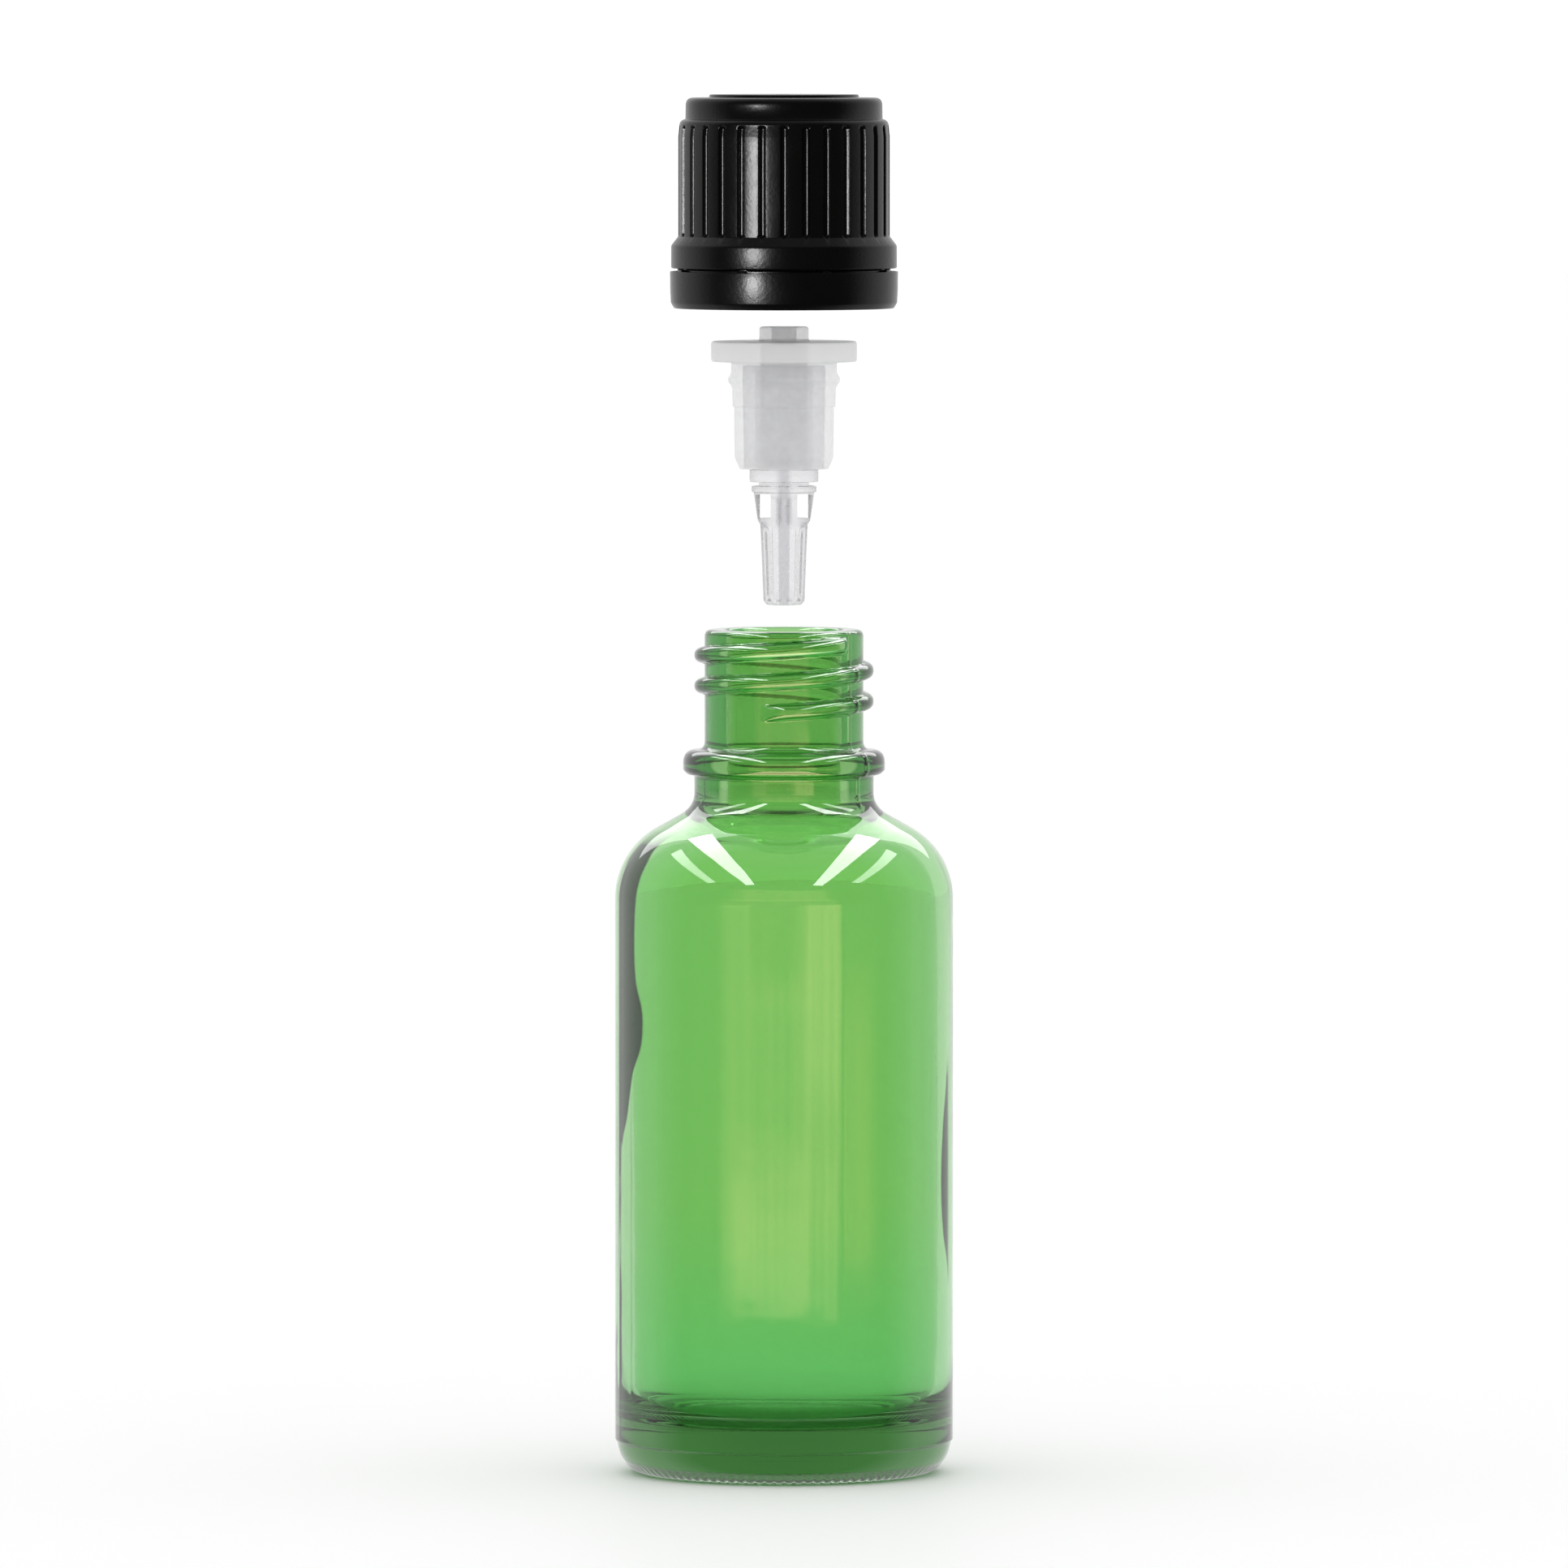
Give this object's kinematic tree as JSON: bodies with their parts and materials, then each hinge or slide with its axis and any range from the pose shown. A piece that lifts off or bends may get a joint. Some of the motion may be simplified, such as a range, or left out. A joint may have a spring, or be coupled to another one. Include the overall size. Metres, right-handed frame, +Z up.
{
  "type": "dropper bottle",
  "caption": "Small round green glass bottle for oil, with a lift-out drip insert and a ribbed screw cap on a tamper-evident ring.",
  "frame": {"origin": "centre of the bottle's bearing ring, on the table", "axes": "+Z up along the bottle's axis; -Y is the side that faces the viewer"},
  "size_m": [0.0332, 0.0332, 0.1344],
  "materials": {
    "green_glass": "clear polished green glass",
    "milky_plastic": "milky translucent soft plastic",
    "clear_plastic": "clear plastic",
    "black_plastic": "satin black moulded plastic with a fine grain"
  },
  "bodies": {
    "bottle": {"bottle_glass": "green_glass"},
    "insert": {"dropper_plug": "milky_plastic"},
    "tube": {"drip_tube": "clear_plastic"},
    "ring": {"tamper_ring": "black_plastic"},
    "cap": {"cap_shell": "black_plastic"}
  },
  "joints": [
    {"name": "insert_press", "type": "slide", "parent": "bottle", "child": "insert", "axis": [0, 0, -1], "range_m": [0, 0.026]},
    {"name": "tube_pull", "type": "slide", "parent": "insert", "child": "tube", "axis": [0, 0, 1], "range_m": [-0.004, 0]},
    {"name": "closure_lower", "type": "slide", "parent": "insert", "child": "ring", "axis": [0, 0, -1], "range_m": [0, 0.021]},
    {"name": "cap_turn", "type": "hinge", "parent": "ring", "child": "cap", "pos_m": [0, 0, 0.125], "axis": [0, 0, -1], "range_deg": [0, 2521]}
  ],
  "couplings": [
    {"joint": "cap_turn", "follows": "closure_lower", "rad_per_m": 2094.4}
  ]
}
